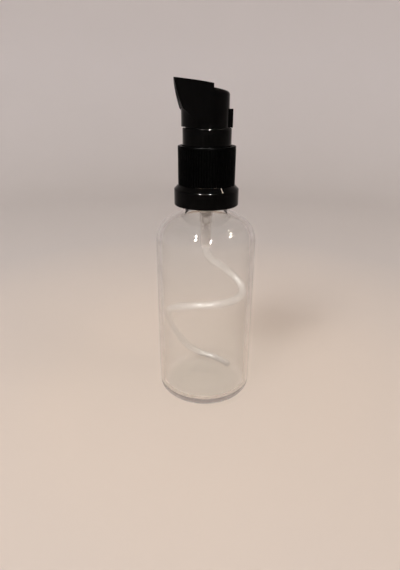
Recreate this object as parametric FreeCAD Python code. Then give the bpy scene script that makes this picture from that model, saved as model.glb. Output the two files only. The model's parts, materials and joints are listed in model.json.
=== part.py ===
import FreeCAD, Part
import math
import os
from FreeCAD import Vector

# A 50 ml glass bottle with a screwed-on dispensing pump, millimetres, +Z up.
# The origin is the centre of the foot on the table, and the spout points to -X.

# Glass bottle
BODY_DIAMETER = 37.3
GLASS_WALL = 1.9
BASE_THICKNESS = 2.3
HEEL_RADIUS = 5.0
INNER_HEEL_RADIUS = 3.5
FOOT_WIDTH = 3.2
PUNT_DEPTH = 0.4
PUNT_FLAT_SHARE = 0.4
PUNT_ROUND = 40.0
SHOULDER_HEIGHT = 75.2
SHOULDER_SLOPE = 29.0
SHOULDER_RADIUS = 10.0
NECK_DIAMETER = 16.2
NECK_BORE = 11.2
NECK_HEIGHT = 15.2
NECK_FOOT_RADIUS = 4.0
RIM_RADIUS = 0.6

# Screw thread between the neck and the collar
THREAD_PITCH = 3.0
THREAD_TURNS = 1.5
COLLAR_TURNS = 1.2
THREAD_DEPTH = 0.85
THREAD_CREST = 0.9
THREAD_FLANK = 0.45
THREAD_BELOW_RIM = 1.8
THREAD_CLEARANCE = 0.2
THREAD_SINK = 0.15

# Locking bead on the neck and the tamper ring that hooks under it
BEAD_DEPTH = 1.15
BEAD_HEIGHT = 1.8
BEAD_BELOW_RIM = 9.6
BEAD_ROUND = 0.5
RING_BEAD_GAP = 0.3
RING_WALL = 2.07
RING_DIAMETER = NECK_DIAMETER + 2 * (BEAD_DEPTH + RING_BEAD_GAP + RING_WALL)
RING_HEIGHT = 7.2
RING_BEVEL = 1.5
RING_FOOT_ROUND = 0.4
RING_HOOK_HEIGHT = 1.6
RING_HOOK_GAP = 0.35
BRIDGE_COUNT = 8
BRIDGE_WIDTH = 0.7
BRIDGE_HEIGHT = 0.25

# Screw collar
COLLAR_WALL = 0.98
COLLAR_DIAMETER = NECK_DIAMETER + 2 * (THREAD_DEPTH + THREAD_CLEARANCE + COLLAR_WALL)
COLLAR_EDGE = 0.25
RIB_COUNT = 72
RIB_DEPTH = 0.25
RIB_FOOT_SHARE = 0.8
RIB_CREST_SHARE = 0.4
RIM_BAND = 0.8
DECK_THICKNESS = 0.75

# Sealing washer and pump housing
GASKET_THICKNESS = 0.8
GASKET_INSET = 0.4
GASKET_DIAMETER = NECK_DIAMETER - 2 * GASKET_INSET
GASKET_GAP = 0.15
FLANGE_THICKNESS = 0.8
FLANGE_INSET = 0.5
FLANGE_DIAMETER = NECK_DIAMETER - 2 * FLANGE_INSET
CHAMBER_BORE = 7.0
CHAMBER_WALL = 0.8
POCKET_GAP = 0.1
POCKET_WALL = 0.45
HOUSING_LENGTH = 30.8
TAIL_WALL = 0.5

# Dip tube and inlet valve
TUBE_DIAMETER = 3.0
TUBE_BORE = 2.0
TUBE_SEAT = 6.8
TUBE_FIT = 0.02
TUBE_LEAD = 0.9
TUBE_WALL_GAP = 0.35
SEAT_WEB = 0.8
SEAT_BORE = 1.6
BALL_DIAMETER = 2.8
BALL_GAP = 0.12
BALL_REST_GAP = 0.05
BALL_LIFT = 0.8
BALL_RETENTION = 0.15
RETAINER_HEIGHT = 0.5

# Spring, stem and piston
STROKE = 4.0
SPRING_DIAMETER = 3.7
SPRING_WIRE = 0.5
SPRING_TURNS = 8
SPRING_END_GAP = 0.1
POCKET_BORE = SPRING_DIAMETER + 2 * POCKET_GAP
PISTON_HEIGHT = 3.4
PISTON_LAG = 0.5
PISTON_RUN = 0.03
PISTON_TOP_GAP = 0.12
PISTON_WAIST = 0.6
LIP_HEIGHT = 0.8
STEM_DIAMETER = 3.8
STEM_BORE = 1.9
STEM_RUN = 0.08
STEM_PORT = 0.8
STEM_GRIP = 7.0
POPPET_DIAMETER = 5.2
POPPET_HEIGHT = 1.4
POPPET_PLUG = 0.7
POPPET_FIT = 0.04
SPIGOT_LENGTH = 1.2
SPIGOT_GAP = 0.1
CHAPLET_DEPTH = 3.0
CHAPLET_LAP = 1.1
CHAPLET_FLANGE = CHAMBER_BORE + 2 * CHAPLET_LAP
CHAPLET_FLANGE_HEIGHT = 0.7
CHAPLET_FIT = 0.04
SEAL_WIDTH = 1.0
SEAL_HEIGHT = 0.8
FLOOR_GAP = 0.4

# Head
BARREL_DIAMETER = 15.0
BARREL_WALL = 1.0
BARREL_RISE = 12.1
BARREL_ROUND = 1.25
BARREL_FIT = 0.03
SLEEVE_WALL = 0.95
SLEEVE_DIAMETER = BARREL_DIAMETER + 2 * (BARREL_FIT + SLEEVE_WALL)
SLEEVE_ENGAGED = 0.5
SLEEVE_RUN = 0.2
SLEEVE_LEDGE = 1.0
SLEEVE_ROUND = 0.4
HEAD_SPARE = 1.8
GROOVE_HEIGHT = 0.4
TOP_SLOPE = 9.5
SHELL_THICKNESS = 1.4
PAD_THICKNESS = 1.0
SPOUT_OVERHANG = 2.5
SPOUT_REACH = BARREL_DIAMETER / 2 + SHELL_THICKNESS + SPOUT_OVERHANG
SPOUT_NOSE = 2.4
SPOUT_RISE = 5.6
SPOUT_TUCK = 3.2
SPOUT_BOW = 0.3
DISH_RADIUS = 20.0
DISH_DEPTH = 0.3
DISH_FORWARD = 4.2
GRIP_STANDOFF = 0.8
GRIP_REACH = BARREL_DIAMETER / 2 + GRIP_STANDOFF
GRIP_WIDTH = 6.0
GRIP_HEIGHT = 5.95
GRIP_DROP = 0.3
EDGE_ROUND = 0.25
SOCKET_WALL = 1.2
SOCKET_RECESS = 1.0
CHANNEL_BORE = 1.8
NOZZLE_DIAMETER = 3.0
NOZZLE_BORE = 1.6
NOZZLE_DROP = 2.5
NOZZLE_HEIGHT = BARREL_RISE - NOZZLE_DROP
NOZZLE_SEAT = 4.6
NOZZLE_SINK = 0.25
NOZZLE_FIT = 0.03
BOSS_WALL = 0.9

# Radii
body_r = BODY_DIAMETER / 2
inner_r = body_r - GLASS_WALL
neck_r = NECK_DIAMETER / 2
bore_r = NECK_BORE / 2
thread_r = neck_r + THREAD_DEPTH
bead_r = neck_r + BEAD_DEPTH
ring_r = RING_DIAMETER / 2
collar_bore_r = thread_r + THREAD_CLEARANCE
chamber_r = CHAMBER_BORE / 2
chamber_out_r = chamber_r + CHAMBER_WALL
pocket_r = POCKET_BORE / 2
pocket_out_r = pocket_r + POCKET_WALL
tube_r = TUBE_DIAMETER / 2
tail_r = tube_r + TUBE_FIT
tail_out_r = tail_r + TAIL_WALL
ball_r = BALL_DIAMETER / 2
cage_r = ball_r + BALL_GAP
seat_r = SEAT_BORE / 2
retainer_r = ball_r - BALL_RETENTION
wire_r = SPRING_WIRE / 2
coil_r = SPRING_DIAMETER / 2 - wire_r
stem_r = STEM_DIAMETER / 2
chaplet_r = CHAPLET_FLANGE / 2
sleeve_r = SLEEVE_DIAMETER / 2
turret_r = sleeve_r + SLEEVE_RUN
collar_r = max(COLLAR_DIAMETER / 2, turret_r + COLLAR_WALL)
barrel_r = BARREL_DIAMETER / 2
shell_r = barrel_r + SHELL_THICKNESS
socket_r = stem_r + SOCKET_WALL
nozzle_r = NOZZLE_DIAMETER / 2
track_r = inner_r - tube_r - TUBE_WALL_GAP

# Heights of the glass and of the closure standing on its rim
rim_z = SHOULDER_HEIGHT + NECK_HEIGHT
thread_top_z = rim_z - THREAD_BELOW_RIM
thread_z = thread_top_z - THREAD_PITCH * THREAD_TURNS
ridge_half = THREAD_CREST / 2 + THREAD_FLANK
bead_top_z = rim_z - BEAD_BELOW_RIM
bead_z = bead_top_z - BEAD_HEIGHT
ring_z = bead_z - RING_BEAD_GAP - RING_HOOK_HEIGHT
ring_top_z = ring_z + RING_HEIGHT
collar_z = ring_top_z + BRIDGE_HEIGHT
gasket_top_z = rim_z + GASKET_THICKNESS
flange_z = gasket_top_z + FLANGE_THICKNESS
deck_z = flange_z + DECK_THICKNESS
collar_top_z = deck_z + SLEEVE_RUN + STROKE + SLEEVE_ENGAGED

# Heights inside the pump, with the head up
tail_z = flange_z - HOUSING_LENGTH
tube_top_z = tail_z + TUBE_SEAT
seat_z = tube_top_z + SEAT_WEB
cage_z = seat_z + cage_r - seat_r
ball_z = seat_z - seat_r + ball_r * math.sqrt(2) + BALL_REST_GAP
retainer_z = ball_z + BALL_LIFT + math.sqrt(ball_r ** 2 - retainer_r ** 2) + BALL_REST_GAP
spring_z = retainer_z + RETAINER_HEIGHT
chaplet_z = flange_z - CHAPLET_DEPTH
piston_top_z = chaplet_z - PISTON_LAG - PISTON_TOP_GAP
piston_z = piston_top_z - PISTON_HEIGHT
poppet_z = piston_z - POPPET_HEIGHT
floor_z = poppet_z - STROKE - FLOOR_GAP

# Heights of the head
sleeve_z = collar_top_z - SLEEVE_ENGAGED
sleeve_top_z = collar_top_z + STROKE + HEAD_SPARE
head_z = sleeve_top_z + GROOVE_HEIGHT
barrel_z = sleeve_z + SLEEVE_LEDGE
barrel_top_z = head_z + BARREL_RISE
socket_z = barrel_z + SOCKET_RECESS
stem_top_z = socket_z + STEM_GRIP
nozzle_z = head_z + NOZZLE_HEIGHT
slope = math.tan(math.radians(TOP_SLOPE))

ORIGIN = Vector(0, 0, 0)
UP = Vector(0, 0, 1)
FAR = 60.0


def rounded_edges(corners):
    """Edges of a closed outline in the XZ plane; a corner is (x, z) or (x, z, fillet radius)."""
    points = [Vector(c[0], 0, c[1]) for c in corners]
    radii = [c[2] if len(c) > 2 else 0.0 for c in corners]
    ends = []
    for i, corner in enumerate(points):
        if radii[i] == 0:
            ends.append((corner, corner, corner, 0.0))
            continue
        back = points[i - 1] - corner
        ahead = points[(i + 1) % len(points)] - corner
        half = back.getAngle(ahead) / 2
        room = 0.48 * min(back.Length, ahead.Length)
        radius = min(radii[i], room * math.tan(half))
        back.normalize()
        ahead.normalize()
        reach = radius / math.tan(half)
        middle = corner + (back + ahead).normalize() * (radius / math.sin(half) - radius)
        ends.append((corner + back * reach, middle, corner + ahead * reach, radius))
    edges = []
    for i, (start, middle, stop, radius) in enumerate(ends):
        if radius > 0:
            edges.append(Part.Arc(start, middle, stop).toShape())
        following = ends[(i + 1) % len(ends)][0]
        if (following - stop).Length > 1e-6:
            edges.append(Part.LineSegment(stop, following).toShape())
    return edges


def outline_face(corners):
    return Part.Face(Part.Wire(rounded_edges(corners)))


def turned(corners):
    """Solid of revolution about Z from a closed outline of (radius, height) corners."""
    return outline_face(corners).revolve(ORIGIN, UP, 360)


def rod(radius, low, high):
    return Part.makeCylinder(radius, high - low, Vector(0, 0, low))


def bar(radius, start, stop):
    """Round bar between two points."""
    return Part.makeCylinder(radius, (stop - start).Length, start, stop - start)


def ridge(root_r, crest_r, low, turns):
    """One helical thread ridge, from its root to its crest, right-handed."""
    crest_half = THREAD_CREST / 2
    corners = [
        (root_r, -ridge_half),
        (crest_r, -crest_half),
        (crest_r, crest_half),
        (root_r, ridge_half),
    ]
    profile = Part.makePolygon([Vector(r, 0, low + h) for r, h in corners + corners[:1]])
    helix = Part.makeHelix(THREAD_PITCH, THREAD_PITCH * turns, max(root_r, crest_r))
    helix.translate(Vector(0, 0, low))
    return Part.Wire(helix.Edges).makePipeShell([profile], True, True)


def biarc(start, start_way, stop, stop_way):
    """Two arcs from start to stop that leave and arrive along the given unit directions."""
    gap = stop - start
    ways = start_way + stop_way
    a = 2 * (1 - start_way.dot(stop_way))
    b = gap.dot(ways)
    if a > 1e-9:
        reach = (-b + math.sqrt(b * b + a * gap.dot(gap))) / a
    else:
        reach = gap.dot(gap) / (2 * b)
    middle = (start + start_way * reach + stop - stop_way * reach) * 0.5
    edges = []
    for tip, way, end in ((start, start_way, middle), (stop, stop_way * -1, middle)):
        chord = end - tip
        side = chord - way * chord.dot(way)
        if side.Length < 1e-6:
            edge = Part.LineSegment(tip, end)
        else:
            angle = math.atan2(side.Length, chord.dot(way))
            bow = chord.Length / 2 * math.tan(angle / 2)
            along = Vector(chord).normalize()
            out = Vector(way - along * way.dot(along)).normalize()
            edge = Part.Arc(tip, tip + chord * 0.5 + out * bow, end)
        edges.append(edge.toShape())
    return edges


def smooth_path(points, first_way, last_way):
    """A wire of arcs through the points, with one direction at each point."""
    ways = [Vector(first_way)]
    for before, after in zip(points, points[2:]):
        ways.append(after - before)
    ways.append(Vector(last_way))
    for way in ways:
        way.normalize()
    edges = []
    for i in range(len(points) - 1):
        edges += biarc(points[i], ways[i], points[i + 1], ways[i + 1])
    return edges


def swept(edges, radius):
    """Round rod of one radius along a chain of edges."""
    wire = Part.Wire(Part.__sortEdges__(edges))
    first = wire.Edges[0]
    tip = first.valueAt(first.FirstParameter)
    way = first.tangentAt(first.FirstParameter)
    profile = Part.Wire(Part.makeCircle(radius, tip, way))
    return wire.makePipeShell([profile], True, False)


def least_gap(points, diameter, skip):
    """Least clear gap of a wound rod to itself, between points further apart than skip along it."""
    gaps = [(p - q).Length for i, p in enumerate(points) for q in points[i + skip:]]
    return min(gaps) - diameter


def bottle():
    fall = math.tan(math.radians(SHOULDER_SLOPE))
    skin = GLASS_WALL / math.cos(math.radians(SHOULDER_SLOPE))
    foot_r = body_r - HEEL_RADIUS
    recess_r = foot_r - FOOT_WIDTH
    inside_neck_z = SHOULDER_HEIGHT + (neck_r - bore_r) * fall - skin
    outside = [
        (0, PUNT_DEPTH),
        (recess_r * PUNT_FLAT_SHARE, PUNT_DEPTH, PUNT_ROUND),
        (recess_r, 0, PUNT_ROUND),
        (body_r, 0, HEEL_RADIUS),
        (body_r, SHOULDER_HEIGHT - (body_r - neck_r) * fall, SHOULDER_RADIUS),
        (neck_r, SHOULDER_HEIGHT, NECK_FOOT_RADIUS),
        (neck_r, bead_z),
        (bead_r, bead_z, BEAD_ROUND),
        (bead_r, bead_top_z, BEAD_ROUND),
        (neck_r, bead_top_z + BEAD_DEPTH / 2),
        (neck_r, rim_z, RIM_RADIUS),
    ]
    inside = [
        (bore_r, rim_z, RIM_RADIUS),
        (bore_r, inside_neck_z, NECK_FOOT_RADIUS + neck_r - bore_r),
        (inner_r, inside_neck_z - (inner_r - bore_r) * fall, SHOULDER_RADIUS - GLASS_WALL),
        (inner_r, BASE_THICKNESS, INNER_HEEL_RADIUS),
        (0, BASE_THICKNESS),
    ]
    glass = turned(outside + inside)
    thread = ridge(neck_r - THREAD_SINK, thread_r, thread_z, THREAD_TURNS)
    return glass.fuse(thread)


def tamper_ring():
    hook_r = neck_r + RING_HOOK_GAP
    inside_r = bead_r + RING_BEAD_GAP
    hook_top_z = ring_z + RING_HOOK_HEIGHT
    ring = turned([
        (hook_r, ring_z, RING_FOOT_ROUND),
        (ring_r, ring_z, RING_FOOT_ROUND),
        (ring_r, ring_top_z - RING_BEVEL, RING_FOOT_ROUND),
        (ring_r - RING_BEVEL, ring_top_z),
        (inside_r, ring_top_z),
        (inside_r, hook_top_z),
        (hook_r, hook_top_z),
    ])
    land = ring_r - RING_BEVEL - inside_r
    bridges = []
    for i in range(BRIDGE_COUNT):
        bridge = Part.makeBox(land, BRIDGE_WIDTH, 2 * BRIDGE_HEIGHT)
        bridge.translate(Vector(inside_r, -BRIDGE_WIDTH / 2, ring_top_z - BRIDGE_HEIGHT))
        bridge.rotate(ORIGIN, UP, 360 * i / BRIDGE_COUNT)
        bridges.append(bridge)
    return ring.fuse(bridges)


def collar():
    core_r = collar_r - RIB_DEPTH
    outside = turned([
        (0, collar_z),
        (core_r, collar_z),
        (core_r, collar_top_z - RIM_BAND),
        (collar_r, collar_top_z - RIM_BAND),
        (collar_r, collar_top_z, COLLAR_EDGE),
        (turret_r, collar_top_z, COLLAR_EDGE),
        (turret_r, deck_z),
        (0, deck_z),
    ])
    foot = RIB_FOOT_SHARE / 2
    crest = RIB_CREST_SHARE / 2
    rib_points = []
    for i in range(RIB_COUNT):
        for share, radius in zip((-foot, -crest, crest, foot), (core_r, collar_r, collar_r, core_r)):
            angle = 2 * math.pi * (i + share) / RIB_COUNT
            rib_points.append(Vector(radius * math.cos(angle), radius * math.sin(angle), collar_z))
    ribs = Part.Face(Part.makePolygon(rib_points + rib_points[:1]))
    ribs = ribs.extrude(UP * (collar_top_z - RIM_BAND - collar_z))
    ribs = ribs.cut(rod(core_r - RIB_DEPTH, collar_z, collar_top_z))
    body = outside.fuse(ribs)
    body = body.cut(rod(collar_bore_r, collar_z, flange_z))
    body = body.cut(rod(chaplet_r + SLEEVE_RUN, flange_z, deck_z))
    first_z = thread_z + THREAD_PITCH / 2
    turns_up = math.ceil((collar_z + ridge_half - first_z) / THREAD_PITCH)
    start_z = first_z + turns_up * THREAD_PITCH
    thread = ridge(collar_bore_r + THREAD_SINK, neck_r + THREAD_CLEARANCE, start_z, COLLAR_TURNS)
    return body.fuse(thread)


def neck_gasket():
    hole_r = chamber_out_r + GASKET_GAP
    return rod(GASKET_DIAMETER / 2, rim_z, gasket_top_z).cut(rod(hole_r, rim_z, gasket_top_z))


def pump_housing():
    flange_r = FLANGE_DIAMETER / 2
    chamber_foot_z = floor_z - CHAMBER_WALL
    pocket_foot_z = cage_z
    return turned([
        (tail_r, tail_z),
        (tail_out_r, tail_z, TAIL_WALL / 2),
        (tail_out_r, pocket_foot_z),
        (pocket_out_r, pocket_foot_z + pocket_out_r - tail_out_r),
        (pocket_out_r, chamber_foot_z - chamber_out_r + pocket_out_r, POCKET_WALL),
        (chamber_out_r, chamber_foot_z, CHAMBER_WALL),
        (chamber_out_r, gasket_top_z),
        (flange_r, gasket_top_z),
        (flange_r, flange_z),
        (chamber_r, flange_z),
        (chamber_r, floor_z),
        (pocket_r, floor_z),
        (pocket_r, spring_z),
        (retainer_r, spring_z),
        (retainer_r, retainer_z),
        (cage_r, retainer_z),
        (cage_r, cage_z),
        (seat_r, seat_z),
        (seat_r, tube_top_z),
        (tail_r, tube_top_z),
    ])


def chaplet():
    plug_r = chamber_r - CHAPLET_FIT
    guide_r = stem_r + STEM_RUN
    top_z = flange_z + CHAPLET_FLANGE_HEIGHT
    pocket_z = top_z - SEAL_HEIGHT
    return turned([
        (guide_r, chaplet_z),
        (plug_r, chaplet_z, CHAPLET_FLANGE_HEIGHT / 2),
        (plug_r, flange_z),
        (chaplet_r, flange_z),
        (chaplet_r, top_z, CHAPLET_FLANGE_HEIGHT / 3),
        (guide_r + SEAL_WIDTH, top_z),
        (guide_r + SEAL_WIDTH, pocket_z),
        (guide_r, pocket_z),
    ])


def stem_seal():
    top_z = flange_z + CHAPLET_FLANGE_HEIGHT
    inside_r = stem_r + STEM_RUN / 2
    outside_r = stem_r + STEM_RUN + SEAL_WIDTH - CHAPLET_FIT
    return rod(outside_r, top_z - SEAL_HEIGHT, top_z).cut(rod(inside_r, top_z - SEAL_HEIGHT, top_z))


def inlet_ball():
    return Part.makeSphere(ball_r, Vector(0, 0, ball_z))


def return_spring():
    low = spring_z + SPRING_END_GAP + wire_r
    high = poppet_z - SPRING_END_GAP - wire_r
    step = 0.25
    count = round(SPRING_TURNS / step)
    points = []
    for i in range(count + 1):
        angle = 2 * math.pi * step * i
        rise = low + (high - low) * i / count
        points.append(Vector(coil_r * math.cos(angle), coil_r * math.sin(angle), rise))
    turn = Vector(0, 2 * math.pi * coil_r, (high - low) / SPRING_TURNS).normalize()
    edges = [Part.LineSegment(points[0] - turn * SPRING_WIRE, points[0]).toShape()]
    edges += smooth_path(points, turn, turn)
    edges.append(Part.LineSegment(points[-1], points[-1] + turn * SPRING_WIRE).toShape())
    print("spring gap to itself, mm:", round(least_gap(points, SPRING_WIRE, 3), 3))
    return swept(edges, wire_r)


def poppet():
    head_r = POPPET_DIAMETER / 2
    spigot_r = coil_r - wire_r - SPIGOT_GAP
    plug_r = STEM_BORE / 2 - POPPET_FIT
    return turned([
        (0, poppet_z - SPIGOT_LENGTH),
        (spigot_r, poppet_z - SPIGOT_LENGTH, SPIGOT_GAP),
        (spigot_r, poppet_z),
        (head_r, poppet_z),
        (head_r, piston_z),
        (plug_r, piston_z),
        (plug_r, piston_z + POPPET_PLUG),
        (0, piston_z + POPPET_PLUG),
    ])


def piston():
    lip_r = chamber_r - PISTON_RUN
    waist_r = lip_r - PISTON_WAIST
    guide_r = stem_r + STEM_RUN
    hollow_r = guide_r + PISTON_WAIST / 2
    return turned([
        (hollow_r, piston_z),
        (lip_r, piston_z),
        (lip_r, piston_z + LIP_HEIGHT),
        (waist_r, piston_z + LIP_HEIGHT + PISTON_WAIST, PISTON_WAIST),
        (waist_r, piston_top_z - LIP_HEIGHT - PISTON_WAIST, PISTON_WAIST),
        (lip_r, piston_top_z - LIP_HEIGHT),
        (lip_r, piston_top_z),
        (guide_r, piston_top_z),
        (guide_r, piston_top_z - LIP_HEIGHT),
        (hollow_r, piston_top_z - LIP_HEIGHT),
    ])


def stem():
    tube = rod(stem_r, piston_z, stem_top_z).cut(rod(STEM_BORE / 2, piston_z, stem_top_z))
    port_z = piston_z + POPPET_PLUG + STEM_PORT
    ports = bar(STEM_PORT / 2, Vector(-stem_r * 2, 0, port_z), Vector(stem_r * 2, 0, port_z))
    return tube.cut(ports)


def below_top(lift, reach):
    """Tall block under the sloping top plane, lifted along Z, from the axis out to reach."""
    return outline_face([
        (-reach, 0),
        (reach, 0),
        (reach, barrel_top_z + lift - reach * slope),
        (-reach, barrel_top_z + lift + reach * slope),
    ]).extrude(Vector(0, 2 * reach, 0)).translated(Vector(0, -reach, 0))


def barrel_envelope(radius, lift):
    """Everything inside the barrel's wall, cut by the sloping top."""
    return rod(radius, barrel_z, barrel_top_z + FAR / 2).common(below_top(lift, FAR))


def actuator_body():
    barrel = barrel_envelope(barrel_r, 0)
    rims = [e for e in barrel.Edges if e.BoundBox.ZMin > head_z and e.BoundBox.YLength > barrel_r]
    barrel = barrel.makeFillet(BARREL_ROUND, rims)
    hollow = rod(barrel_r - BARREL_WALL, barrel_z, barrel_top_z + FAR / 2)
    hollow = hollow.common(below_top(-BARREL_WALL, FAR))
    socket = rod(socket_r, socket_z, barrel_top_z)
    boss = bar(nozzle_r + BOSS_WALL, Vector(0, 0, nozzle_z), Vector(-barrel_r, 0, nozzle_z))
    grip_z = head_z - GRIP_DROP
    grip = Part.makeBox(GRIP_REACH, GRIP_WIDTH, GRIP_HEIGHT, Vector(0, -GRIP_WIDTH / 2, grip_z))
    grip = grip.makeFillet(EDGE_ROUND, [e for e in grip.Edges if e.BoundBox.XMin > GRIP_REACH / 2])
    grip = grip.cut(rod(barrel_r - BARREL_WALL / 2, grip_z, grip_z + GRIP_HEIGHT))
    column = socket.fuse(boss).common(barrel_envelope(barrel_r - BARREL_WALL / 2, -BARREL_WALL / 2))
    body = barrel.cut(hollow).fuse([column, grip])
    body = body.cut(rod(stem_r + NOZZLE_FIT, barrel_z, stem_top_z))
    body = body.cut(rod(CHANNEL_BORE / 2, stem_top_z, nozzle_z))
    inlet = Vector(-barrel_r + NOZZLE_SEAT, 0, nozzle_z)
    body = body.cut(bar(CHANNEL_BORE / 2, Vector(0, 0, nozzle_z), inlet))
    return body.cut(bar(nozzle_r + NOZZLE_FIT, inlet, Vector(-FAR, 0, nozzle_z)))


def spout_side():
    """Side view of the beak: under the sloping top, with a bowed front."""
    tip = Vector(-SPOUT_REACH, 0, barrel_top_z + PAD_THICKNESS + SPOUT_REACH * slope)
    root = Vector(-shell_r, 0, head_z + SPOUT_RISE)
    tuck = root + Vector(SPOUT_TUCK, 0, -SPOUT_TUCK)
    top = Vector(0, 0, barrel_top_z + PAD_THICKNESS)
    chord = tip - root
    bow = root + chord * 0.5 + Vector(-chord.z, 0, chord.x).normalize() * SPOUT_BOW
    edges = [
        Part.Arc(root, bow, tip).toShape(),
        Part.LineSegment(tip, top).toShape(),
        Part.LineSegment(top, Vector(0, 0, tuck.z)).toShape(),
        Part.LineSegment(Vector(0, 0, tuck.z), tuck).toShape(),
        Part.LineSegment(tuck, root).toShape(),
    ]
    face = Part.Face(Part.Wire(edges))
    return face.extrude(Vector(0, 2 * shell_r, 0)).translated(Vector(0, -shell_r, 0))


def spout_plan(low, high):
    """Top view of the beak: straight sides from the shell's curve to a round nose."""
    centre = SPOUT_REACH - SPOUT_NOSE
    lean = math.asin((shell_r - SPOUT_NOSE) / centre)
    side = Vector(-math.sin(lean), math.cos(lean), 0)
    mirrored = Vector(side.x, -side.y, 0)
    nose = Vector(-centre, 0, 0)
    nose_tip = Vector(-SPOUT_REACH, 0, 0)
    edges = [
        Part.LineSegment(side * shell_r, nose + side * SPOUT_NOSE).toShape(),
        Part.Arc(nose + side * SPOUT_NOSE, nose_tip, nose + mirrored * SPOUT_NOSE).toShape(),
        Part.LineSegment(nose + mirrored * SPOUT_NOSE, mirrored * shell_r).toShape(),
        Part.LineSegment(mirrored * shell_r, ORIGIN).toShape(),
        Part.LineSegment(ORIGIN, side * shell_r).toShape(),
    ]
    face = Part.Face(Part.Wire(edges)).translated(Vector(0, 0, low))
    return face.extrude(UP * (high - low))


def spout_block():
    """Front shell and beak before the barrel's room is cut out."""
    front_half = Part.makeBox(FAR, 2 * FAR, 2 * FAR, Vector(-FAR, -FAR, 0))
    shell = rod(shell_r, head_z, barrel_top_z + FAR / 2).common(below_top(PAD_THICKNESS, FAR))
    shell = shell.common(front_half)
    beak = spout_plan(head_z, barrel_top_z + FAR / 2).common(spout_side())
    return shell.fuse(beak).removeSplitter()


def spout_shell():
    block = spout_block()
    block = block.cut(barrel_envelope(barrel_r + BARREL_FIT, 0))
    pad = Vector(-DISH_FORWARD, 0, barrel_top_z + PAD_THICKNESS + DISH_FORWARD * slope)
    dish = pad + Vector(slope, 0, 1).normalize() * (DISH_RADIUS - DISH_DEPTH)
    block = block.cut(Part.makeSphere(DISH_RADIUS, dish))
    return block.cut(bar(nozzle_r + NOZZLE_FIT, Vector(0, 0, nozzle_z), Vector(-FAR, 0, nozzle_z)))


def nozzle_tip():
    inlet = Vector(-barrel_r + NOZZLE_SEAT, 0, nozzle_z)
    outlet = Vector(-FAR, 0, nozzle_z)
    tube = bar(nozzle_r, inlet, outlet).cut(bar(NOZZLE_BORE / 2, inlet, outlet))
    return tube.common(spout_side().translated(Vector(NOZZLE_SINK, 0, 0)))


def actuator_skirt():
    bore = barrel_r + BARREL_FIT
    return turned([
        (barrel_r - BARREL_WALL, sleeve_z),
        (sleeve_r, sleeve_z, BARREL_FIT),
        (sleeve_r, sleeve_top_z, SLEEVE_ROUND),
        (bore, sleeve_top_z),
        (bore, barrel_z),
        (barrel_r - BARREL_WALL, barrel_z),
    ])


def tube_track(height):
    """Radius at which the tube runs along the inside of the glass, at the wall or in the heel."""
    heel_z = BASE_THICKNESS + INNER_HEEL_RADIUS
    if height >= heel_z:
        return track_r
    heel_run = INNER_HEEL_RADIUS - tube_r - TUBE_WALL_GAP
    return inner_r - INNER_HEEL_RADIUS + math.sqrt(max(0, heel_run ** 2 - (heel_z - height) ** 2))


def dip_tube():
    """Uncut suction tube: it swings to the wall under the tail and curls once round to the floor."""
    end_z = BASE_THICKNESS + tube_r + TUBE_WALL_GAP
    exit_z = tail_z - TUBE_LEAD
    stations = [
        (0, 0.14, 0.077),
        (-3, 0.38, 0.119),
        (-7, 0.62, 0.173),
        (-13, 0.85, 0.226),
        (-24, 0.98, 0.267),
        (-42, 1, 0.287),
        (-66, 1, 0.294),
        (-94, 1, 0.296),
        (-120, 1, 0.308),
        (-146, 1, 0.346),
        (-172, 1, 0.426),
        (-198, 1, 0.552),
        (-224, 1, 0.712),
        (-250, 1, 0.88),
        (-272, 1, 0.967),
        (-298, 1, 0.996),
        (-324, 1, 1),
        (-338, 1, 1),
    ]
    exit_point = Vector(0, 0, exit_z)
    points = [exit_point]
    for degrees, outward, downward in stations:
        angle = math.radians(degrees)
        height = exit_z + downward * (end_z - exit_z)
        radius = outward * tube_track(height)
        points.append(Vector(radius * math.cos(angle), radius * math.sin(angle), height))
    last = math.radians(stations[-1][0])
    edges = [Part.LineSegment(Vector(0, 0, tube_top_z), exit_point).toShape()]
    edges += smooth_path(points, -UP, Vector(math.sin(last), -math.cos(last), 0))
    length = sum(e.Length for e in edges)
    radii = [e.Curve.Radius for e in edges if hasattr(e.Curve, "Radius")]
    tube = swept(edges, tube_r).cut(swept(edges, TUBE_BORE / 2))
    section = math.pi * (tube_r ** 2 - TUBE_BORE ** 2 / 4)
    print("dip tube length, mm:", round(length, 1), "bend radii:", [round(r, 1) for r in radii])
    print("dip tube volume over section times length:", round(tube.Volume / section / length, 4))
    return tube


PIECES = {
    "bottle": bottle,
    "tamper_ring": tamper_ring,
    "collar": collar,
    "neck_gasket": neck_gasket,
    "pump_housing": pump_housing,
    "chaplet": chaplet,
    "stem_seal": stem_seal,
    "inlet_ball": inlet_ball,
    "return_spring": return_spring,
    "poppet": poppet,
    "piston": piston,
    "stem": stem,
    "actuator_body": actuator_body,
    "spout_shell": spout_shell,
    "nozzle_tip": nozzle_tip,
    "actuator_skirt": actuator_skirt,
    "dip_tube": dip_tube,
}

os.makedirs("parts", exist_ok=True)
for name, make in PIECES.items():
    shape = make()
    print(name, "solids", len(shape.Solids), "valid", shape.isValid(), "volume", round(shape.Volume, 2))
    shape.exportStep("parts/" + name + ".step")
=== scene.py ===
import json
import math

import bmesh
import bpy
from mathutils import Matrix, Vector


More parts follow.
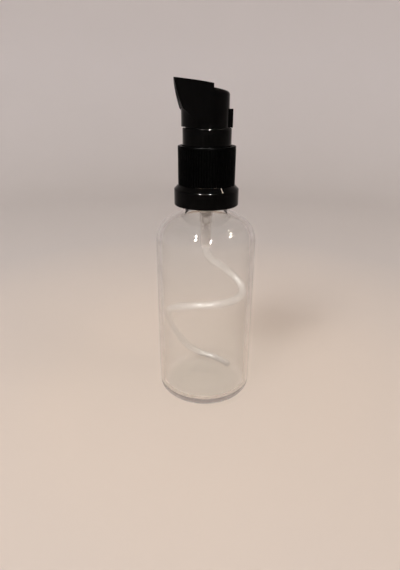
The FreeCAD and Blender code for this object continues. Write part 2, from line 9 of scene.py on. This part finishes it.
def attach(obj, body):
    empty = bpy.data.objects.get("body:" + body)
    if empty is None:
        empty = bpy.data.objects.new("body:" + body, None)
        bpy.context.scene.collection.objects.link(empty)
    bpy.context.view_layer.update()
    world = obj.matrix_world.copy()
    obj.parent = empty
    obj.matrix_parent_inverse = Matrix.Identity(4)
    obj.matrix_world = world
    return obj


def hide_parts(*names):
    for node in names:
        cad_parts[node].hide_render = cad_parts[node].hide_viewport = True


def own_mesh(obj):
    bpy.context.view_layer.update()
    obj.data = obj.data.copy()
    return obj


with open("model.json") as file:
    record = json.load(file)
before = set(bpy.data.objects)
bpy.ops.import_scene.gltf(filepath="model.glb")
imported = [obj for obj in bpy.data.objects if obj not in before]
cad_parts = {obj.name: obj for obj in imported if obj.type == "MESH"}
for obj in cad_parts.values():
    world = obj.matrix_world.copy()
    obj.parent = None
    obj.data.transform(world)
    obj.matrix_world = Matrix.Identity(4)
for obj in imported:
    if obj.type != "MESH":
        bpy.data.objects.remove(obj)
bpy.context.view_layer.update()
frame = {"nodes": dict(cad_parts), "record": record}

NODES = frame["nodes"]


def linked(name, data):
    item = bpy.data.objects.new(name, data)
    bpy.context.scene.collection.objects.link(item)
    return item


def made(name, shape, material):
    """An object of the finished bmesh, smooth, with one material."""
    bmesh.ops.recalc_face_normals(shape, faces=shape.faces)
    mesh = bpy.data.meshes.new(name)
    shape.to_mesh(mesh)
    shape.free()
    mesh.polygons.foreach_set("use_smooth", [True] * len(mesh.polygons))
    mesh.materials.append(material)
    return linked(name, mesh)


# Camera, fitted to the photograph's outlines

# The spout points to -X; the photograph looks at the bottle from azimuth -12.5 degrees.
VIEW_TURN = Matrix.Rotation(math.radians(-12.5), 3, "Z")
CAMERA_BACK = 0.15614
CAMERA_SIDE = -0.002071
CAMERA_HEIGHT = 0.1109
CAMERA_PITCH = 0.402
CAMERA_ROLL = 0.007
FOCAL_PIXELS = 430.0
IMAGE_HEIGHT = 570.0
CENTRE_PIXELS_DOWN = 1.0
SENSOR = 36.0
NEAREST = 0.002
FARTHEST = 20.0


def turned_to_view(x, y, z):
    """A place given right, back and up as the photograph sees them, in the row frame."""
    return VIEW_TURN @ Vector((x, y, z))


def make_camera():
    data = bpy.data.cameras.new("camera")
    data.sensor_fit = "AUTO"
    data.sensor_width = SENSOR
    data.lens = FOCAL_PIXELS / IMAGE_HEIGHT * SENSOR
    data.shift_y = CENTRE_PIXELS_DOWN / IMAGE_HEIGHT
    data.clip_start = NEAREST
    data.clip_end = FARTHEST
    camera = linked("camera", data)
    camera.location = turned_to_view(CAMERA_SIDE, -CAMERA_BACK, CAMERA_HEIGHT)
    pitched = VIEW_TURN @ Matrix.Rotation(math.pi / 2 - CAMERA_PITCH, 3, "X")
    camera.rotation_euler = (pitched @ Matrix.Rotation(CAMERA_ROLL, 3, "Z")).to_euler()
    bpy.context.scene.camera = camera


# Node materials

NOISE_ROUGHNESS = 0.55
# Above these heights black gloss is the beak, whose underside is satin.
BEAK_FROM, BEAK_FULL = 0.1, 0.102


class Graph:
    """A node material with a Principled shader, built one node at a time."""

    def __init__(self, name):
        self.material = bpy.data.materials.new(name)
        self.material.use_nodes = True
        self.tree = self.material.node_tree
        self.shader = self.tree.nodes["Principled BSDF"]
        self.output = self.tree.nodes["Material Output"]
        coordinates = self.add("ShaderNodeTexCoord")
        self.place = coordinates.outputs["Object"]
        self.normal = coordinates.outputs["Normal"]

    def add(self, kind, **settings):
        node = self.tree.nodes.new(kind)
        for key, value in settings.items():
            setattr(node, key, value)
        return node

    def link(self, source, target):
        self.tree.links.new(source, target)

    def set(self, **values):
        for key, value in values.items():
            self.shader.inputs[key.replace("_", " ")].default_value = value

    def into(self, value, socket):
        self.link(value, self.shader.inputs[socket])

    def stretched(self, x, y, z):
        node = self.add("ShaderNodeMapping")
        node.inputs["Scale"].default_value = (x, y, z)
        self.link(self.place, node.inputs["Vector"])
        return node.outputs["Vector"]

    def upward(self, vector):
        node = self.add("ShaderNodeSeparateXYZ")
        self.link(vector, node.inputs["Vector"])
        return node.outputs["Z"]

    def noise(self, scale, detail=3.0, vector=None):
        node = self.add("ShaderNodeTexNoise")
        node.inputs["Scale"].default_value = scale
        node.inputs["Detail"].default_value = detail
        node.inputs["Roughness"].default_value = NOISE_ROUGHNESS
        self.link(vector or self.place, node.inputs["Vector"])
        return node.outputs["Fac"]

    def spots(self, scale):
        node = self.add("ShaderNodeTexVoronoi")
        node.inputs["Scale"].default_value = scale
        self.link(self.place, node.inputs["Vector"])
        return node.outputs["Distance"]

    def ranged(self, value, low, high, to_low, to_high):
        node = self.add("ShaderNodeMapRange", clamp=True)
        ends = {"From Min": low, "From Max": high, "To Min": to_low, "To Max": to_high}
        for key, number in ends.items():
            node.inputs[key].default_value = number
        self.link(value, node.inputs["Value"])
        return node.outputs["Result"]

    def math(self, operation, first, second):
        node = self.add("ShaderNodeMath", operation=operation)
        self.link(first, node.inputs[0])
        self.link(second, node.inputs[1])
        return node.outputs["Value"]

    def ramp(self, value, *stops):
        node = self.add("ShaderNodeValToRGB")
        elements = node.color_ramp.elements
        while len(elements) < len(stops):
            elements.new(0.5)
        for element, (place, colour) in zip(elements, stops):
            element.position = place
            element.color = (*colour, 1.0)
        self.link(value, node.inputs["Fac"])
        return node.outputs["Color"]

    def colour(self, value, *stops):
        self.into(self.ramp(value, *stops), "Base Color")

    def roughness(self, value, least, most):
        self.into(self.ranged(value, 0.3, 0.7, least, most), "Roughness")

    def bump(self, value, height, strength):
        node = self.add("ShaderNodeBump")
        node.inputs["Strength"].default_value = strength
        node.inputs["Distance"].default_value = height
        self.link(value, node.inputs["Height"])
        self.into(node.outputs["Normal"], "Normal")


def black_gloss():
    g = Graph("black_gloss")
    g.set(IOR=1.47, Specular_IOR_Level=0.055)
    haze = g.ranged(g.noise(160.0, 4.0), 0.35, 0.7, 0.04, 0.09)
    under = g.ranged(g.upward(g.normal), -0.22, -0.1, 0.55, 0.0)
    beak = g.ranged(g.upward(g.place), BEAK_FROM, BEAK_FULL, 0.0, 1.0)
    g.into(g.math("MAXIMUM", haze, g.math("MULTIPLY", under, beak)), "Roughness")
    clouds = g.ranged(g.noise(90.0, 2.0), 0.3, 0.7, 0.0, 0.5)
    dust = g.ranged(g.spots(1500.0), 0.03, 0.1, 1.0, 0.0)
    patches = g.ranged(g.noise(220.0, 2.0), 0.6, 0.72, 0.0, 1.0)
    g.colour(
        g.math("ADD", clouds, g.math("MULTIPLY", dust, patches)),
        (0.0, (0.0004, 0.0004, 0.0004)),
        (0.5, (0.0008, 0.0008, 0.0008)),
        (1.0, (0.012, 0.0117, 0.0114)),
    )
    g.bump(g.noise(420.0), 0.00002, 0.35)
    return g.material


def black_ribbed():
    g = Graph("black_ribbed")
    g.set(IOR=1.47, Specular_IOR_Level=0.008)
    g.roughness(g.noise(900.0, 4.0), 0.24, 0.36)
    dust = g.ranged(g.noise(500.0, 5.0), 0.55, 0.8, 0.0, 1.0)
    g.colour(dust, (0.0, (0.0006, 0.0006, 0.0006)), (1.0, (0.002, 0.002, 0.002)))
    g.bump(g.noise(2600.0), 0.00001, 0.5)
    return g.material


def clear_glass():
    """Glass that lets shadow rays through, and lets out light that is mirrored inside its wall,
    darkened there as a painted shade.
    """
    g = Graph("clear_glass")
    g.set(IOR=1.5, Transmission_Weight=1.0, Base_Color=(0.965, 0.97, 0.967, 1.0))
    g.into(g.ranged(g.noise(240.0), 0.45, 0.75, 0.0, 0.04), "Roughness")
    g.bump(g.noise(75.0, 2.0), 0.00004, 0.35)
    ray = g.add("ShaderNodeLightPath").outputs
    mirrored = g.math("MULTIPLY", ray["Is Reflection Ray"], ray["Is Glossy Ray"])
    # Light let out after mirroring inside the wall gets a darker colour: a painted shade along the
    # heel and the glass edges
    mirrored_shade = g.ramp(mirrored, (0.0, (0.975, 0.98, 0.977)), (1.0, (0.87, 0.852, 0.835)))
    clear = g.add("ShaderNodeBsdfTransparent")
    g.link(mirrored_shade, clear.inputs["Color"])
    mix = g.add("ShaderNodeMixShader")
    g.link(g.math("MAXIMUM", ray["Is Shadow Ray"], ray["Is Reflection Ray"]), mix.inputs[0])
    g.link(g.shader.outputs["BSDF"], mix.inputs[1])
    g.link(clear.outputs["BSDF"], mix.inputs[2])
    g.link(mix.outputs["Shader"], g.output.inputs["Surface"])
    return g.material


def natural_plastic():
    g = Graph("natural_plastic")
    g.set(IOR=1.49, Alpha=0.26, Specular_IOR_Level=0.15)
    g.colour(g.noise(300.0), (0.3, (0.92, 0.85, 0.8)), (0.7, (0.97, 0.9, 0.85)))
    g.roughness(g.noise(420.0), 0.28, 0.42)
    return g.material


def natural_tube():
    g = Graph("natural_tube")
    g.set(IOR=1.49, Alpha=0.12, Specular_IOR_Level=0.14)
    g.colour(g.noise(260.0, 2.0), (0.3, (0.93, 0.91, 0.89)), (0.7, (0.97, 0.96, 0.945)))
    g.roughness(g.noise(500.0), 0.22, 0.34)
    return g.material


def white_plastic():
    g = Graph("white_plastic")
    g.set(IOR=1.48, Subsurface_Weight=0.1, Subsurface_Scale=0.001)
    g.colour(g.noise(320.0), (0.3, (0.78, 0.78, 0.76)), (0.7, (0.84, 0.84, 0.83)))
    g.roughness(g.noise(700.0), 0.32, 0.45)
    g.bump(g.noise(1800.0, 2.0), 0.00002, 0.3)
    return g.material


def gasket():
    g = Graph("gasket")
    g.set(IOR=1.45)
    g.colour(g.noise(600.0, 4.0), (0.3, (0.68, 0.68, 0.66)), (0.7, (0.76, 0.76, 0.74)))
    g.roughness(g.noise(900.0), 0.55, 0.75)
    g.bump(g.noise(2400.0, 4.0), 0.00003, 0.5)
    return g.material


def steel():
    g = Graph("steel")
    g.set(Metallic=1.0)
    drawn = g.noise(900.0, 4.0, g.stretched(1.0, 1.0, 6.0))
    g.colour(drawn, (0.3, (0.1, 0.091, 0.084)), (0.7, (0.16, 0.147, 0.137)))
    g.roughness(drawn, 0.2, 0.34)
    return g.material


def satin_steel():
    g = Graph("steel_satin")
    g.set(Metallic=1.0)
    g.colour(g.noise(700.0), (0.3, (0.16, 0.15, 0.142)), (0.7, (0.19, 0.179, 0.17)))
    g.roughness(g.noise(1200.0), 0.8, 0.92)
    return g.material


def stage_paint():
    """Paint whose tone follows the distance from the bottle, with a faint mottle."""
    g = Graph("stage_paint")
    g.set(Roughness=0.9, Specular_IOR_Level=0.0)
    away = g.add("ShaderNodeVectorMath", operation="LENGTH")
    g.link(g.place, away.inputs[0])
    mottle = g.ranged(g.noise(12.0), 0.3, 0.7, -0.01, 0.01)
    g.colour(
        g.math("ADD", g.ranged(away.outputs["Value"], 0.0, 1.0, 0.0, 1.0), mottle),
        (0.06, (0.71, 0.63, 0.57)),
        (0.22, (0.61, 0.575, 0.565)),
        (0.45, (0.62, 0.59, 0.585)),
        (0.66, (0.69, 0.665, 0.68)),
        (0.92, (0.64, 0.61, 0.6)),
    )
    return g.material


SLOTS = {
    "clear_glass": clear_glass(),
    "black_gloss": black_gloss(),
    "black_ribbed": black_ribbed(),
    "gasket": gasket(),
    "natural_plastic": natural_plastic(),
    "white_plastic": white_plastic(),
    "steel": steel(),
    "natural_tube": natural_tube(),
}
# A node whose finish differs from the rest of its slot
OWN_FINISH = {"inlet_ball": satin_steel()}


def dress_nodes():
    for part in frame["record"]["subparts"]:
        mesh = NODES[part["node"]].data
        material = OWN_FINISH.get(part["node"], SLOTS[part["material_slot"]])
        if not mesh.materials:
            mesh.materials.append(material)
        for i in range(len(mesh.materials)):
            mesh.materials[i] = material


# Return spring, a helix with closed end turns, fixed to the pump body; the real spring shortens
# when the head is pressed

SPRING_LOW = 0.07236
SPRING_HIGH = 0.08323
COIL_RADIUS = 0.0016
WIRE_RADIUS = 0.00025
SPRING_TURNS = 8
CLOSED_RISE = 2 * WIRE_RADIUS * 1.02
STEPS_PER_TURN = 40
WIRE_SIDES = 12


def spring_rise(turns):
    """The wire's height after some turns; the first and last turn lie close to the next."""
    free_turns = SPRING_TURNS - 2
    free = min(max(turns - 1, 0), free_turns) / free_turns
    ends = min(turns, 1) + max(turns - SPRING_TURNS + 1, 0)
    return SPRING_LOW + CLOSED_RISE * ends + (SPRING_HIGH - SPRING_LOW - 2 * CLOSED_RISE) * free


def make_spring():
    shape = bmesh.new()
    rings = []
    for i in range(SPRING_TURNS * STEPS_PER_TURN + 1):
        turn = 2 * math.pi * i / STEPS_PER_TURN
        out = Vector((math.cos(turn), math.sin(turn), 0))
        centre = out * COIL_RADIUS + Vector((0, 0, spring_rise(i / STEPS_PER_TURN)))
        ring = []
        for j in range(WIRE_SIDES):
            angle = 2 * math.pi * j / WIRE_SIDES
            side = out * math.cos(angle) + Vector((0, 0, math.sin(angle)))
            ring.append(shape.verts.new(centre + side * WIRE_RADIUS))
        rings.append(ring)
    for before, after in zip(rings, rings[1:]):
        for j in range(WIRE_SIDES):
            k = (j + 1) % WIRE_SIDES
            shape.faces.new((before[j], before[k], after[k], after[j]))
    shape.faces.new(rings[0][::-1])
    shape.faces.new(rings[-1])
    spring = made("return_spring_coil", shape, SLOTS["steel"])
    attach(spring, "pump")
    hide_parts("return_spring")
    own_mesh(spring)


# Stage, a round floor that curves up into a wall

FLOOR_HEIGHT = -0.0002
FLOOR_RADIUS = 0.40
COVE_RADIUS = 0.25
COVE_STEPS = 12
WALL_TOP = 1.1
STAGE_SIDES = 96


def make_stage():
    profile = [(FLOOR_RADIUS, FLOOR_HEIGHT)]
    for i in range(1, COVE_STEPS + 1):
        angle = math.pi / 2 * i / COVE_STEPS
        out = FLOOR_RADIUS + COVE_RADIUS * math.sin(angle)
        profile.append((out, FLOOR_HEIGHT + COVE_RADIUS - COVE_RADIUS * math.cos(angle)))
    profile.append((FLOOR_RADIUS + COVE_RADIUS, WALL_TOP))
    turns = [2 * math.pi * k / STAGE_SIDES for k in range(STAGE_SIDES)]
    shape = bmesh.new()
    centre = shape.verts.new((0, 0, FLOOR_HEIGHT))
    rings = []
    for radius, height in profile:
        places = [(radius * math.cos(turn), radius * math.sin(turn), height) for turn in turns]
        rings.append([shape.verts.new(place) for place in places])
    for k in range(STAGE_SIDES):
        after = (k + 1) % STAGE_SIDES
        shape.faces.new((centre, rings[0][k], rings[0][after]))
        for low, high in zip(rings, rings[1:]):
            shape.faces.new((low[k], high[k], high[after], low[after]))
    made("stage", shape, stage_paint())


# Light

WHITE = (1.0, 0.97, 0.93)
WARM = (1.0, 0.86, 0.7)
ROOM_COLOUR = (1.0, 0.95, 0.9, 1.0)
ROOM_STRENGTH = 0.5
LAMP_AIM = Vector((0.0, 0.0, 0.07))
SOFT_DISTANCE = 0.8
GLINT_DISTANCE = 0.75
GLINT_SIZE = 0.04
# Turn and rise in degrees, power on the moulded pieces, size and power on the glass
WHITE_GLINTS = (
    (-32.0, 55.0, 48.0, 0.06, 3.6),
    (-27.0, 40.0, 72.0, 0.06, 3.6),
    (15.0, 40.0, 72.0, 0.04, 1.0),
    (11.0, 31.0, 48.0, 0.04, 1.0),
)
WARM_GLINTS = ((96.0, 57.0), (84.0, 47.0), (72.0, 40.0))
WARM_SIZE = 0.03
WARM_POWER = 0.6


def around(turn, rise, distance):
    """A place seen from the bottle, right of the photograph's camera and up, in degrees."""
    side, up = math.radians(turn), math.radians(rise)
    flat = distance * math.cos(up)
    across, back = flat * math.sin(side), -flat * math.cos(side)
    return LAMP_AIM + turned_to_view(across, back, distance * math.sin(up))


def make_lamp(name, place, size, power, colour):
    data = bpy.data.lights.new(name, "AREA")
    data.shape = "DISK"
    data.size = size
    data.energy = power
    data.color = colour
    lamp = linked(name, data)
    lamp.location = place
    lamp.rotation_euler = (LAMP_AIM - place).to_track_quat("-Z", "Y").to_euler()
    lamp.visible_camera = False
    lamp.visible_transmission = False
    return lamp


def soft_lamp(name, turn, rise, size, power, colour):
    """A wide lamp that lights the object and isn't mirrored in it."""
    lamp = make_lamp(name, around(turn, rise, SOFT_DISTANCE), size, power, colour)
    lamp.visible_glossy = False


def glint_lamp(name, turn, rise, size, power, colour):
    """A small bulb that is only seen mirrored in gloss and glass."""
    lamp = make_lamp(name, around(turn, rise, GLINT_DISTANCE), size, power, colour)
    lamp.visible_diffuse = False
    return lamp


def make_light():
    world = bpy.data.worlds.new("soft_room")
    bpy.context.scene.world = world
    world.use_nodes = True
    background = world.node_tree.nodes["Background"]
    background.inputs["Color"].default_value = ROOM_COLOUR
    background.inputs["Strength"].default_value = ROOM_STRENGTH
    soft_lamp("soft_key", -36.0, 50.0, 0.3, 3.4, WHITE)
    soft_lamp("soft_fill", 70.0, 45.0, 0.4, 1.4, WARM)
    moulded = bpy.data.collections.new("moulded")
    for name, node in NODES.items():
        if name != "bottle":
            moulded.objects.link(node)
    for i, (turn, rise, power, glass_size, glass_power) in enumerate(WHITE_GLINTS):
        lamp = glint_lamp("glint_%d" % i, turn, rise, GLINT_SIZE, power, WHITE)
        lamp.light_linking.receiver_collection = moulded
        glint_lamp("glass_glint_%d" % i, turn, rise, glass_size, glass_power, WHITE)
    for i, (turn, rise) in enumerate(WARM_GLINTS):
        glint_lamp("warm_glint_%d" % i, turn, rise, WARM_SIZE, WARM_POWER, WARM)


make_camera()
dress_nodes()
make_spring()
make_stage()
make_light()
bpy.context.scene.view_settings.view_transform = "Standard"
